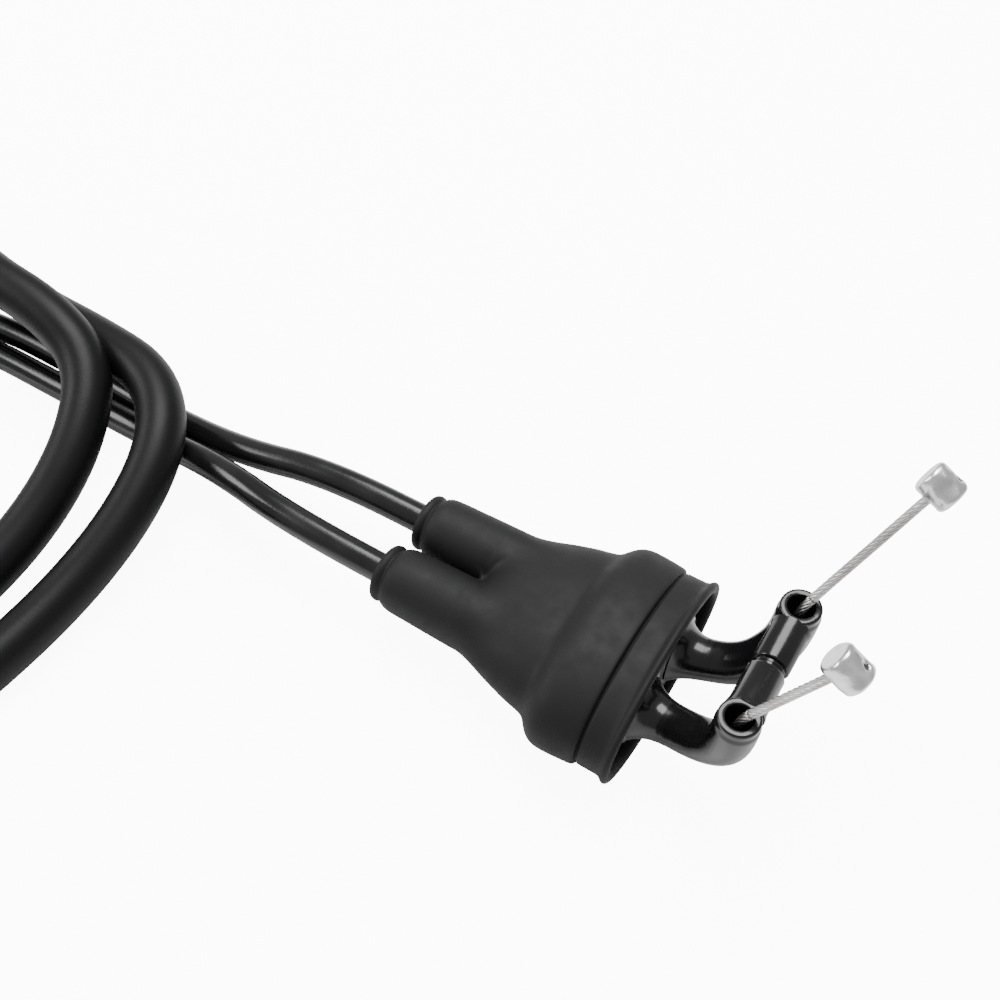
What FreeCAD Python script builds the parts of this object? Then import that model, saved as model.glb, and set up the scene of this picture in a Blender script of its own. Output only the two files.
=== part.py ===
import FreeCAD, Part
import math
import os

os.makedirs("parts", exist_ok=True)

# Twin motorcycle throttle cables, throttle end: a rubber boot, two elbows, wires with barrel nipples,
# the two casings with their protective hoses, and the threaded adjusters at the far ends. Millimetres.
# Origin: centre of the elbows' flange face. +X points out of the boot, +Y from the pull cable to the
# return cable, +Z up, the way the elbows' outlets point. The whole thing lies on a surface under it.

# Rubber boot, from its mouth at X = 0 back to its two sleeves
BOOT_MOUTH_HALF_WIDTH = 18.4
BOOT_MOUTH_HALF_HEIGHT = 10.0
BOOT_SHOULDER_HALF_WIDTH = 18.95
BOOT_SHOULDER_HALF_HEIGHT = 10.2
BOOT_SHOULDER_X = -11.4
BOOT_STEP_X = -14.7
BOOT_STEP_HALF_WIDTH = 15.8
BOOT_STEP_HALF_HEIGHT = 8.6
BOOT_CROTCH_X = -30.0
BOOT_CROTCH_HALF_WIDTH = 11.4
BOOT_CROTCH_HALF_HEIGHT = 5.7
BOOT_WALL = 1.7
BOOT_BEAD = 1.6
BOOT_BEAD_PROUD = 0.4
BOOT_GROOVE_X = -4.7
BOOT_GROOVE_DEPTH = 0.35
BOOT_GROOVE_WIDTH = 0.7
SLEEVE_END_X = -45.8
SLEEVE_RADIUS = 5.7
SLEEVE_END_RADIUS = 5.3
SLEEVE_LIP_RADIUS = 4.8
SLEEVE_LIP_LENGTH = 2.0
SLEEVE_LENGTH_IN_BODY = 6.0
SLEEVE_CLEARANCE = 0.3

# Cable pair
CABLE_HALF_SPACING = 5.8
CASING_DIAMETER = 5.0
WIRE_DIAMETER = 1.4
HOSE_CLEARANCE = 0.4
HOSE_WALL = 1.3
HOSE_DIAMETER = CASING_DIAMETER + 2 * (HOSE_CLEARANCE + HOSE_WALL)

# Elbows
FLANGE_HALF_LENGTH = 12.5
FLANGE_HALF_HEIGHT = 6.5
FLANGE_THICKNESS = 3.0
FLANGE_EDGE = 0.8
PARTING_GAP = 0.1
NECK_RADIUS = 5.0
NECK_LENGTH = 4.0
ELBOW_TUBE_DIAMETER = 6.4
ELBOW_BORE_DIAMETER = 3.8
ELBOW_REAR_X = -8.0
ELBOW_SPLAY_X = 0.5
ELBOW_SPLAY_RADIUS = 12.0
ELBOW_BEND_RADIUS = 12.0
OUTLET_X = 14.2
OUTLET_HALF_SPACING = 10.0
OUTLET_Z = 18.55
OUTLET_COLLAR_DIAMETER = 6.0
OUTLET_COLLAR_HEIGHT = 1.2
BAR_DIAMETER = 5.5
BAR_Z = 15.8
BAR_GROOVE = 1.0
NIB_RADIUS = 0.8
NIB_X = 8.5
NIB_TIP_Z = -2.6

# Ferrule that joins each casing to its elbow
FERRULE_DIAMETER = 8.0
FERRULE_LENGTH = 12.0
FERRULE_END_WALL = 2.0
FERRULE_CLEARANCE = 0.05
FERRULE_WIRE_HOLE_DIAMETER = 1.8

# Throttle-side wire ends: where each wire leaves the bore's line, and its nipple's centre
WIRE_KINK_Z = 17.7
WIRE_KINK_RADIUS = 1.2
WIRE_MOUTH_LENGTH = 2.2
PULL_NIPPLE = (23.7, -5.8, 33.4)
RETURN_NIPPLE = (23.8, 23.9, 36.6)
PULL_BARREL_LIE = (0.894, 0.0, -0.448)
RETURN_BARREL_LIE = (0.864, -0.231, -0.448)
NIPPLE_DIAMETER = 5.0
NIPPLE_LENGTH = 5.0
NIPPLE_EDGE = 0.5
NIPPLE_SEAT = 0.8
WIRE_HOLE_CLEARANCE = 0.05

# Far-end fittings, along -Y from each casing's end
FAR_FERRULE_DIAMETER = 7.0
FAR_FERRULE_LENGTH = 12.0
ADJUSTER_DIAMETER = 8.0
ADJUSTER_LENGTH = 34.0
ADJUSTER_HEAD_FLATS = 10.0
ADJUSTER_HEAD_LENGTH = 4.0
ADJUSTER_BORE_DIAMETER = 2.4
ADJUSTER_NOSE_DIAMETER = 5.5
ADJUSTER_NOSE_LENGTH = 5.0
NUT_FLATS = 12.0
NUT_THICKNESS = 4.0
NUT_CLEARANCE = 0.05
NUT_STARTS = (9.0, 17.0)
SEAL_DIAMETER = 8.0
SEAL_TIP_DIAMETER = 3.6
SEAL_LENGTH = 9.0
SEAL_CLEARANCE = 0.3
FAR_WIRE_INSIDE = 26.0
FAR_WIRE_OUTSIDE = 20.0
FAR_NIPPLE_DIAMETER = 4.0
FAR_NIPPLE_LENGTH = 4.0
FAR_NIPPLE_EDGE = 0.35

# Strap that holds the first turns of the two casings together
TIE_WIDTH = 4.0
TIE_THICKNESS = 0.8
TIE_GAP = 0.1
TIE_Y = -51.0
TIE_HEAD = 4.5

ARC_SHARE = 0.45
SURFACE_Z = -BOOT_MOUTH_HALF_HEIGHT - BOOT_BEAD_PROUD
CASING_ON_SURFACE = SURFACE_Z + CASING_DIAMETER / 2
HOSE_ON_SURFACE = SURFACE_Z + HOSE_DIAMETER / 2
FITTINGS_Z = SURFACE_Z + NUT_FLATS / 2
CASING_IN_TIE = SURFACE_Z + TIE_THICKNESS + TIE_GAP + CASING_DIAMETER / 2
CASING_START_X = ELBOW_REAR_X - FERRULE_END_WALL

# Each casing's route: out of the boot, down to the surface, once round, over itself and to the fittings
PULL_ROUTE = [
    (CASING_START_X, -CABLE_HALF_SPACING, 0.0),
    (-38.0, -CABLE_HALF_SPACING, 0.0),
    (-65.0, 0.2 - CABLE_HALF_SPACING, 0.0),
    (-82.0, -2.4, -2.0),
    (-101.0, -0.8, -6.0),
    (-122.0, 0.4, CASING_ON_SURFACE),
    (-145.0, 0.4, CASING_ON_SURFACE),
    (-168.0, -6.0, CASING_ON_SURFACE),
    (-184.0, -21.0, -7.4),
    (-191.0, -41.0, CASING_IN_TIE),
    (-190.5, -62.0, CASING_IN_TIE),
    (-180.0, -81.0, -6.6),
    (-161.0, -92.0, HOSE_ON_SURFACE),
    (-139.0, -93.0, HOSE_ON_SURFACE),
    (-119.0, -83.0, HOSE_ON_SURFACE),
    (-106.0, -65.0, HOSE_ON_SURFACE),
    (-101.5, -43.0, HOSE_ON_SURFACE),
    (-100.0, -22.5, -3.0),
    (-107.5, -6.5, 5.0),
    (-122.5, 4.0, 11.0),
    (-141.5, 10.5, 12.5),
    (-163.0, 16.5, 8.5),
    (-186.0, 18.5, 0.0),
    (-207.5, 9.0, -5.6),
    (-220.0, -9.0, -5.2),
    (-224.5, -29.0, FITTINGS_Z),
    (-224.5, -44.0, FITTINGS_Z),
]
RETURN_ROUTE = [
    (CASING_START_X, CABLE_HALF_SPACING, 0.0),
    (-38.0, CABLE_HALF_SPACING, 0.0),
    (-65.0, CABLE_HALF_SPACING - 0.2, 0.0),
    (-82.0, 4.2, -2.0),
    (-101.0, 4.9, -6.0),
    (-122.0, 6.2, CASING_ON_SURFACE),
    (-146.0, 6.2, CASING_ON_SURFACE),
    (-171.0, -0.5, CASING_ON_SURFACE),
    (-190.0, -16.0, -7.4),
    (-199.0, -38.0, CASING_IN_TIE),
    (-198.0, -63.0, CASING_IN_TIE),
    (-186.0, -86.0, -6.6),
    (-165.0, -102.0, HOSE_ON_SURFACE),
    (-139.0, -106.0, HOSE_ON_SURFACE),
    (-113.0, -98.0, HOSE_ON_SURFACE),
    (-94.5, -79.0, HOSE_ON_SURFACE),
    (-87.0, -55.0, HOSE_ON_SURFACE),
    (-85.5, -33.0, -5.4),
    (-87.0, -14.0, 0.5),
    (-97.0, 0.5, 5.0),
    (-113.0, 9.0, 4.4),
    (-132.0, 13.5, 0.2),
    (-154.0, 15.0, -4.6),
    (-176.0, 10.5, HOSE_ON_SURFACE),
    (-195.0, -2.0, -6.0),
    (-206.0, -20.0, -5.4),
    (-208.5, -40.0, FITTINGS_Z),
    (-208.5, -55.0, FITTINGS_Z),
]
# The hose covers its casing from the middle of the first run named to the middle of the second
HOSE_RUNS = (12, 22)


def vector(triple):
    return FreeCAD.Vector(*triple)


def unit(direction):
    return direction * (1 / direction.Length)


def rod(diameter, start, end):
    return Part.makeCylinder(diameter / 2, (end - start).Length, start, end - start)


def along_x(diameter, x_start, x_end, y):
    return rod(diameter, FreeCAD.Vector(x_start, y, 0), FreeCAD.Vector(x_end, y, 0))


def save(name, shape):
    shape.exportStep("parts/" + name + ".step")


# Paths and tubes


def round_corner(before, corner, after, radius):
    """The arc of this radius that is tangent to both runs at a corner, as start, middle and end."""
    run_in = unit(corner - before)
    run_out = unit(after - corner)
    half_turn = run_in.getAngle(run_out) / 2
    reach = radius * math.tan(half_turn)
    inwards = unit(run_out - run_in)
    to_middle = radius / math.cos(half_turn) - radius
    return corner - run_in * reach, corner + inwards * to_middle, corner + run_out * reach


def largest_radius(before, corner, after):
    run_in = corner - before
    run_out = after - corner
    half_turn = run_in.getAngle(run_out) / 2
    return ARC_SHARE * min(run_in.Length, run_out.Length) / math.tan(half_turn)


def corner_radii(points):
    return [largest_radius(*three) for three in zip(points, points[1:], points[2:])]


def stretch(points, radii, first_run, last_run):
    """The path from run first_run to run last_run: whole at the route's ends, else from a run's middle."""
    position = points[0] if first_run == 0 else (points[first_run] + points[first_run + 1]) * 0.5
    edges = []
    for index in range(first_run + 1, last_run + 1):
        arc = round_corner(points[index - 1], points[index], points[index + 1], radii[index - 1])
        edges.append(Part.LineSegment(position, arc[0]).toShape())
        edges.append(Part.Arc(*arc).toShape())
        position = arc[2]
    whole = last_run == len(points) - 2
    end = points[-1] if whole else (points[last_run] + points[last_run + 1]) * 0.5
    edges.append(Part.LineSegment(position, end).toShape())
    return Part.Wire(edges)


def tube(path, diameter):
    first = path.OrderedEdges[0]
    start = first.valueAt(first.FirstParameter)
    section = Part.Wire(Part.makeCircle(diameter / 2, start, first.tangentAt(first.FirstParameter)))
    return path.makePipeShell([section], True, False)


def report(name, solid, path, section_area, radii):
    share = solid.Volume / (section_area * path.Length)
    print(name, "length", round(path.Length, 1), "volume share", round(share, 4))
    print("   smallest radius", round(min(radii), 1), "all", [round(radius) for radius in radii])


# Rubber boot


def oval(x, half_width, half_height):
    centre = FreeCAD.Vector(x, 0, 0)
    widest = FreeCAD.Vector(x, half_width, 0)
    tallest = FreeCAD.Vector(x, 0, half_height)
    return Part.Wire(Part.Ellipse(widest, tallest, centre).toShape())


def oval_loft(sections):
    return Part.makeLoft([oval(*section) for section in sections], True, True)


def boot_body(inset):
    """The boot's oval body, drawn in by inset all round."""
    return oval_loft([
        (0.0, BOOT_MOUTH_HALF_WIDTH - inset, BOOT_MOUTH_HALF_HEIGHT - inset),
        (BOOT_SHOULDER_X + inset, BOOT_SHOULDER_HALF_WIDTH - inset, BOOT_SHOULDER_HALF_HEIGHT - inset),
        (BOOT_STEP_X + inset, BOOT_STEP_HALF_WIDTH - inset, BOOT_STEP_HALF_HEIGHT - inset),
        (BOOT_CROTCH_X + inset, BOOT_CROTCH_HALF_WIDTH - inset, BOOT_CROTCH_HALF_HEIGHT - inset),
    ])


def mouth_disc(x_start, x_end, outset):
    """An oval disc the shape of the mouth, drawn out by outset all round."""
    half_width = BOOT_MOUTH_HALF_WIDTH + outset
    half_height = BOOT_MOUTH_HALF_HEIGHT + outset
    return oval_loft([(x_start, half_width, half_height), (x_end, half_width, half_height)])


def boot_groove():
    start = BOOT_GROOVE_X - BOOT_GROOVE_WIDTH / 2
    end = BOOT_GROOVE_X + BOOT_GROOVE_WIDTH / 2
    reach = 2 * BOOT_MOUTH_HALF_WIDTH
    block = Part.makeBox(end - start, 2 * reach, 2 * reach, FreeCAD.Vector(start, -reach, -reach))
    return block.cut(mouth_disc(start, end, -BOOT_GROOVE_DEPTH))


def boot_sleeve(side):
    y = side * CABLE_HALF_SPACING
    lip_start = SLEEVE_END_X + SLEEVE_LIP_LENGTH
    root_x = BOOT_CROTCH_X + SLEEVE_LENGTH_IN_BODY
    backwards = FreeCAD.Vector(-1, 0, 0)
    root = FreeCAD.Vector(root_x, y, 0)
    cone = Part.makeCone(SLEEVE_RADIUS, SLEEVE_END_RADIUS, root_x - lip_start, root, backwards)
    return cone.fuse(along_x(2 * SLEEVE_LIP_RADIUS, SLEEVE_END_X, lip_start, y))


def rubber_boot():
    bead = mouth_disc(-BOOT_BEAD, 0.0, BOOT_BEAD_PROUD)
    outer = boot_body(0).fuse([boot_sleeve(-1), boot_sleeve(1), bead])
    bore = CASING_DIAMETER + 2 * SLEEVE_CLEARANCE
    inside = boot_body(BOOT_WALL)
    bores = [
        along_x(bore, SLEEVE_END_X - 1, BOOT_STEP_X, side * CABLE_HALF_SPACING)
        for side in (-1, 1)
    ]
    return outer.cut(inside).cut(bores).cut(boot_groove())


# Elbows, their ferrules and the wires inside them


def elbow_corners(side):
    cable_y = side * CABLE_HALF_SPACING
    outlet_y = side * OUTLET_HALF_SPACING
    return [
        FreeCAD.Vector(ELBOW_REAR_X, cable_y, 0),
        FreeCAD.Vector(ELBOW_SPLAY_X, cable_y, 0),
        FreeCAD.Vector(OUTLET_X, outlet_y, 0),
        FreeCAD.Vector(OUTLET_X, outlet_y, OUTLET_Z),
    ]


def elbow_path(side):
    corners = elbow_corners(side)
    return stretch(corners, [ELBOW_SPLAY_RADIUS, ELBOW_BEND_RADIUS], 0, len(corners) - 2)


def half_flange(side):
    """One cable's half of the oval flange, up to the parting line."""
    plate = oval_loft([
        (-FLANGE_THICKNESS, FLANGE_HALF_LENGTH, FLANGE_HALF_HEIGHT),
        (-FLANGE_EDGE, FLANGE_HALF_LENGTH, FLANGE_HALF_HEIGHT),
        (0.0, FLANGE_HALF_LENGTH - FLANGE_EDGE, FLANGE_HALF_HEIGHT - FLANGE_EDGE),
    ])
    start_y = PARTING_GAP / 2 if side > 0 else -FLANGE_HALF_LENGTH
    width = FLANGE_HALF_LENGTH - PARTING_GAP / 2
    corner = FreeCAD.Vector(-FLANGE_THICKNESS, start_y, -FLANGE_HALF_HEIGHT)
    half_space = Part.makeBox(FLANGE_THICKNESS, width, 2 * FLANGE_HALF_HEIGHT, corner)
    return plate.common(half_space)


def half_bar(side):
    inner = FreeCAD.Vector(OUTLET_X, side * BAR_GROOVE / 2, BAR_Z)
    outer = FreeCAD.Vector(OUTLET_X, side * OUTLET_HALF_SPACING, BAR_Z)
    return rod(BAR_DIAMETER, inner, outer)


def elbow_neck(side):
    corners = elbow_corners(side)
    ahead = unit(corners[2] - corners[1])
    base = corners[1] - ahead * ELBOW_SPLAY_X
    return Part.makeCone(NECK_RADIUS, ELBOW_TUBE_DIAMETER / 2, NECK_LENGTH, base, ahead)


def outlet_groove(side):
    """What is cut away to leave the outlet's narrower collar."""
    start = FreeCAD.Vector(OUTLET_X, side * OUTLET_HALF_SPACING, OUTLET_Z - OUTLET_COLLAR_HEIGHT)
    end = FreeCAD.Vector(OUTLET_X, side * OUTLET_HALF_SPACING, OUTLET_Z)
    return rod(2 * ELBOW_TUBE_DIAMETER, start, end).cut(rod(OUTLET_COLLAR_DIAMETER, start, end))


def elbow_nib(side):
    """The moulding nib under the outer side of the bend."""
    ahead = unit(elbow_corners(side)[2] - elbow_corners(side)[1])
    y = side * CABLE_HALF_SPACING + ahead.y / ahead.x * (NIB_X - ELBOW_SPLAY_X)
    return rod(2 * NIB_RADIUS, FreeCAD.Vector(NIB_X, y, NIB_TIP_Z), FreeCAD.Vector(NIB_X, y, 0))


def elbow(side):
    path = elbow_path(side)
    body = tube(path, ELBOW_TUBE_DIAMETER)
    body = body.fuse([half_flange(side), elbow_neck(side), elbow_nib(side), half_bar(side)])
    return body.cut([outlet_groove(side), tube(path, ELBOW_BORE_DIAMETER)])


def ferrule(side):
    y = side * CABLE_HALF_SPACING
    bore = CASING_DIAMETER + 2 * FERRULE_CLEARANCE
    body = along_x(FERRULE_DIAMETER, ELBOW_REAR_X - FERRULE_LENGTH, ELBOW_REAR_X, y)
    casing_hole = along_x(bore, ELBOW_REAR_X - FERRULE_LENGTH, CASING_START_X, y)
    wire_hole = along_x(FERRULE_WIRE_HOLE_DIAMETER, CASING_START_X, ELBOW_REAR_X, y)
    return body.cut([casing_hole, wire_hole])


def wire_kink(side):
    return FreeCAD.Vector(OUTLET_X, side * OUTLET_HALF_SPACING, WIRE_KINK_Z)


def wire_direction(side, nipple_centre):
    return unit(nipple_centre - wire_kink(side))


def elbow_wire(side, nipple_centre):
    """The wire from the casing's end through the elbow to just outside the outlet."""
    corners = elbow_corners(side)
    corners[0] = FreeCAD.Vector(CASING_START_X, side * CABLE_HALF_SPACING, 0)
    corners[-1] = wire_kink(side)
    corners.append(corners[-1] + wire_direction(side, nipple_centre) * WIRE_MOUTH_LENGTH)
    radii = [ELBOW_SPLAY_RADIUS, ELBOW_BEND_RADIUS, WIRE_KINK_RADIUS]
    return tube(stretch(corners, radii, 0, len(corners) - 2), WIRE_DIAMETER)


def throttle_wire(side, nipple_centre):
    direction = wire_direction(side, nipple_centre)
    start = wire_kink(side) + direction * WIRE_MOUTH_LENGTH
    return rod(WIRE_DIAMETER, start, nipple_centre - direction * NIPPLE_SEAT)


def barrel_nipple(centre, wire_way, lie, diameter, length, edge):
    """A barrel across the wire, with rounded ends and a blind hole for the wire."""
    axis = unit(lie - wire_way * lie.dot(wire_way))
    barrel = rod(diameter, centre - axis * (length / 2), centre + axis * (length / 2))
    rims = [e for e in barrel.Edges if isinstance(e.Curve, Part.Circle)]
    barrel = barrel.makeFillet(edge, rims)
    hole_end = centre - wire_way * NIPPLE_SEAT
    hole_diameter = WIRE_DIAMETER + 2 * WIRE_HOLE_CLEARANCE
    return barrel.cut(rod(hole_diameter, centre - wire_way * diameter, hole_end))


# Far-end fittings


def along_far(diameter, end, start_distance, end_distance):
    backwards = FreeCAD.Vector(0, -1, 0)
    return rod(diameter, end + backwards * start_distance, end + backwards * end_distance)


def hexagon(flats, end, start_distance, thickness):
    """A hexagonal block round the far-end axis, with a flat downwards."""
    corner_radius = flats / math.sqrt(3)
    y = end.y - start_distance
    corners = [
        FreeCAD.Vector(
            end.x + corner_radius * math.cos(math.radians(60 * k)),
            y,
            end.z + corner_radius * math.sin(math.radians(60 * k)),
        )
        for k in range(7)
    ]
    return Part.Face(Part.makePolygon(corners)).extrude(FreeCAD.Vector(0, -thickness, 0))


def far_ferrule(end):
    bore = CASING_DIAMETER + 2 * FERRULE_CLEARANCE
    start = FERRULE_END_WALL - FAR_FERRULE_LENGTH
    body = along_far(FAR_FERRULE_DIAMETER, end, start, FERRULE_END_WALL)
    casing_hole = along_far(bore, end, start, 0)
    wire_hole = along_far(ADJUSTER_BORE_DIAMETER, end, 0, FERRULE_END_WALL)
    return body.cut([casing_hole, wire_hole])


def adjuster(end):
    head_start = FERRULE_END_WALL
    thread_start = head_start + ADJUSTER_HEAD_LENGTH
    nose_start = head_start + ADJUSTER_LENGTH
    nose_end = nose_start + ADJUSTER_NOSE_LENGTH
    body = hexagon(ADJUSTER_HEAD_FLATS, end, head_start, ADJUSTER_HEAD_LENGTH)
    body = body.fuse([
        along_far(ADJUSTER_DIAMETER, end, thread_start, nose_start),
        along_far(ADJUSTER_NOSE_DIAMETER, end, nose_start, nose_end),
    ])
    return body.cut(along_far(ADJUSTER_BORE_DIAMETER, end, head_start, nose_end))


def nut(end, start):
    bore = ADJUSTER_DIAMETER + 2 * NUT_CLEARANCE
    block = hexagon(NUT_FLATS, end, start, NUT_THICKNESS)
    return block.cut(along_far(bore, end, start, start + NUT_THICKNESS))


def dust_seal(end):
    """A rubber cap on the adjuster's nose, tapering down to the wire."""
    start = FERRULE_END_WALL + ADJUSTER_LENGTH
    nose_end = start + ADJUSTER_NOSE_LENGTH
    tip = start + SEAL_LENGTH
    backwards = FreeCAD.Vector(0, -1, 0)
    cone_base = end + backwards * nose_end
    body = along_far(SEAL_DIAMETER, end, start, nose_end).fuse(
        Part.makeCone(SEAL_DIAMETER / 2, SEAL_TIP_DIAMETER / 2, tip - nose_end, cone_base, backwards)
    )
    pocket = along_far(ADJUSTER_NOSE_DIAMETER + 2 * FERRULE_CLEARANCE, end, start, nose_end)
    wire_hole = along_far(WIRE_DIAMETER + 2 * SEAL_CLEARANCE, end, nose_end, tip)
    return body.cut([pocket, wire_hole])


def far_nipple_distance():
    return FERRULE_END_WALL + ADJUSTER_LENGTH + SEAL_LENGTH + FAR_WIRE_OUTSIDE


def far_wire(end):
    start = FERRULE_END_WALL + ADJUSTER_LENGTH - FAR_WIRE_INSIDE
    return along_far(WIRE_DIAMETER, end, start, far_nipple_distance() - NIPPLE_SEAT)


def far_nipple(end):
    centre = end + FreeCAD.Vector(0, -far_nipple_distance(), 0)
    lie = FreeCAD.Vector(1, 0, 0)
    way = FreeCAD.Vector(0, 1, 0)
    return barrel_nipple(
        centre, way * -1, lie, FAR_NIPPLE_DIAMETER, FAR_NIPPLE_LENGTH, FAR_NIPPLE_EDGE
    )


# Strap round the two casings


def crossing_x(points, y):
    """Where the run of a route that crosses this Y lies."""
    for before, after in zip(points, points[1:]):
        if before.y > y > after.y:
            return before.x + (after.x - before.x) * (y - before.y) / (after.y - before.y)


def coil_tie(pull_points, return_points):
    reach = CASING_DIAMETER / 2 + TIE_GAP
    inner_left = crossing_x(return_points, TIE_Y) - reach - TIE_GAP
    inner_right = crossing_x(pull_points, TIE_Y) + reach + TIE_GAP
    inner_height = CASING_DIAMETER + 2 * TIE_GAP
    width = inner_right - inner_left
    start_y = TIE_Y - TIE_WIDTH / 2
    outer = Part.makeBox(
        width + 2 * TIE_THICKNESS,
        TIE_WIDTH,
        inner_height + 2 * TIE_THICKNESS,
        FreeCAD.Vector(inner_left - TIE_THICKNESS, start_y, SURFACE_Z),
    )
    inner = Part.makeBox(
        width, TIE_WIDTH, inner_height, FreeCAD.Vector(inner_left, start_y, SURFACE_Z + TIE_THICKNESS)
    )
    long_edges = [e for e in outer.Edges if abs(e.Length - TIE_WIDTH) < 1e-6 and along_y(e)]
    strap = outer.makeFillet(2 * TIE_THICKNESS, long_edges).cut(inner)
    head_z = SURFACE_Z + 2 * TIE_THICKNESS + inner_height
    head_x = (inner_left + inner_right - TIE_HEAD) / 2
    head = Part.makeBox(
        TIE_HEAD, TIE_WIDTH, TIE_HEAD / 2, FreeCAD.Vector(head_x, start_y, head_z)
    )
    return strap.fuse(head)


def along_y(edge):
    ends = edge.Vertexes
    return abs(ends[0].Y - ends[-1].Y) > 1e-6


# Assembly

SIDES = (
    ("pull", -1, PULL_ROUTE, PULL_NIPPLE, PULL_BARREL_LIE),
    ("return", 1, RETURN_ROUTE, RETURN_NIPPLE, RETURN_BARREL_LIE),
)

save("rubber_boot", rubber_boot())
for name, side, route, nipple, lie in SIDES:
    nipple_centre = vector(nipple)
    direction = wire_direction(side, nipple_centre)
    points = [vector(point) for point in route]
    radii = corner_radii(points)
    path = stretch(points, radii, 0, len(points) - 2)
    casing = tube(path, CASING_DIAMETER)
    hose_path = stretch(points, radii, *HOSE_RUNS)
    hose_bore = HOSE_DIAMETER - 2 * HOSE_WALL
    hose = tube(hose_path, HOSE_DIAMETER).cut(tube(hose_path, hose_bore))
    casing_area = math.pi * CASING_DIAMETER**2 / 4
    hose_area = math.pi * (HOSE_DIAMETER**2 - hose_bore**2) / 4
    report(name + "_casing", casing, path, casing_area, radii)
    report(name + "_hose", hose, hose_path, hose_area, radii[HOSE_RUNS[0] : HOSE_RUNS[1]])
    end = points[-1]
    save(name + "_elbow", elbow(side))
    save(name + "_elbow_ferrule", ferrule(side))
    save(name + "_elbow_wire", elbow_wire(side, nipple_centre))
    save(name + "_throttle_wire", throttle_wire(side, nipple_centre))
    save(
        name + "_throttle_nipple",
        barrel_nipple(nipple_centre, direction, vector(lie), NIPPLE_DIAMETER, NIPPLE_LENGTH, NIPPLE_EDGE),
    )
    save(name + "_casing", casing)
    save(name + "_hose", hose)
    save(name + "_far_ferrule", far_ferrule(end))
    save(name + "_adjuster", adjuster(end))
    save(name + "_lock_nut", nut(end, NUT_STARTS[0]))
    save(name + "_adjusting_nut", nut(end, NUT_STARTS[1]))
    save(name + "_dust_seal", dust_seal(end))
    save(name + "_far_wire", far_wire(end))
    save(name + "_far_nipple", far_nipple(end))

save("coil_tie", coil_tie([vector(p) for p in PULL_ROUTE], [vector(p) for p in RETURN_ROUTE]))
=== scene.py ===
import math
import bpy
import bmesh
from mathutils import Matrix, Vector


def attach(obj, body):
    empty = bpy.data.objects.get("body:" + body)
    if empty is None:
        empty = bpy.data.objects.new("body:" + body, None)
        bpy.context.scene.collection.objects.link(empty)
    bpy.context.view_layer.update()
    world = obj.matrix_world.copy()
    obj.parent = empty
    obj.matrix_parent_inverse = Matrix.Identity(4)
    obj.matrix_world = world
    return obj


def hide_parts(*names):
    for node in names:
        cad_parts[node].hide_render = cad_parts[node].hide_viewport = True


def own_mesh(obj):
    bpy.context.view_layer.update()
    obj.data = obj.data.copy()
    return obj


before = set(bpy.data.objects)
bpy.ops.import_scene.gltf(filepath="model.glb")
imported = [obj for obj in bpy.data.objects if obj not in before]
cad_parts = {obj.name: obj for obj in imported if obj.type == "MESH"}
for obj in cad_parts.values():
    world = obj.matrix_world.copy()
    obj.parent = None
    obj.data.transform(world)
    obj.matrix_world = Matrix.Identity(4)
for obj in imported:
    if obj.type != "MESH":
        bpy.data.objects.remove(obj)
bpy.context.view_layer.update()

# Twin throttle cables, in metres in the model's own frame. Lengths named below are in millimetres
# until mm() turns them into metres.
MM = 0.001
SIDES = (("pull", -1), ("return", 1))

# The sizes that part.py uses
CASING_DIAMETER = 5.0
HOSE_DIAMETER = 8.4
HOSE_WALL = 1.3
WIRE_DIAMETER = 1.4
CABLE_HALF_SPACING = 5.8
SURFACE_Z = -10.4
CASING_ON_SURFACE = SURFACE_Z + CASING_DIAMETER / 2
HOSE_ON_SURFACE = SURFACE_Z + HOSE_DIAMETER / 2
FITTINGS_Z = SURFACE_Z + 6.0
CASING_IN_TIE = -7.0
CASING_START_X = -10.0

# Each casing's route: part.py's points, with what the photograph shows moved to follow it
PULL_ROUTE = [
    (CASING_START_X, -CABLE_HALF_SPACING, 0.0),
    (-38.0, -CABLE_HALF_SPACING, 0.0),
    (-65.0, 0.2 - CABLE_HALF_SPACING, 0.0),
    (-82.0, -2.6, -1.4),
    (-101.0, -0.8, -6.0),
    (-122.0, 0.4, CASING_ON_SURFACE),
    (-145.0, 0.4, CASING_ON_SURFACE),
    (-168.0, -6.0, CASING_ON_SURFACE),
    (-184.0, -21.0, -7.4),
    (-191.0, -41.0, CASING_IN_TIE),
    (-190.5, -62.0, CASING_IN_TIE),
    (-180.0, -81.0, -6.6),
    (-161.0, -92.0, HOSE_ON_SURFACE),
    (-139.0, -93.0, HOSE_ON_SURFACE),
    (-119.0, -83.0, HOSE_ON_SURFACE),
    (-106.0, -65.0, HOSE_ON_SURFACE),
    (-102.5, -44.0, HOSE_ON_SURFACE),
    (-101.5, -27.0, -3.4),
    (-103.0, -12.5, 2.2),
    (-109.5, -1.0, 6.8),
    (-121.5, 2.4, 10.6),
    (-137.5, 2.6, 12.4),
    (-158.0, 10.5, 11.0),
    (-182.0, 16.0, 2.5),
    (-207.0, 9.0, -5.6),
    (-220.0, -9.0, -5.2),
    (-224.5, -29.0, FITTINGS_Z),
    (-224.5, -44.0, FITTINGS_Z),
]
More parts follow.
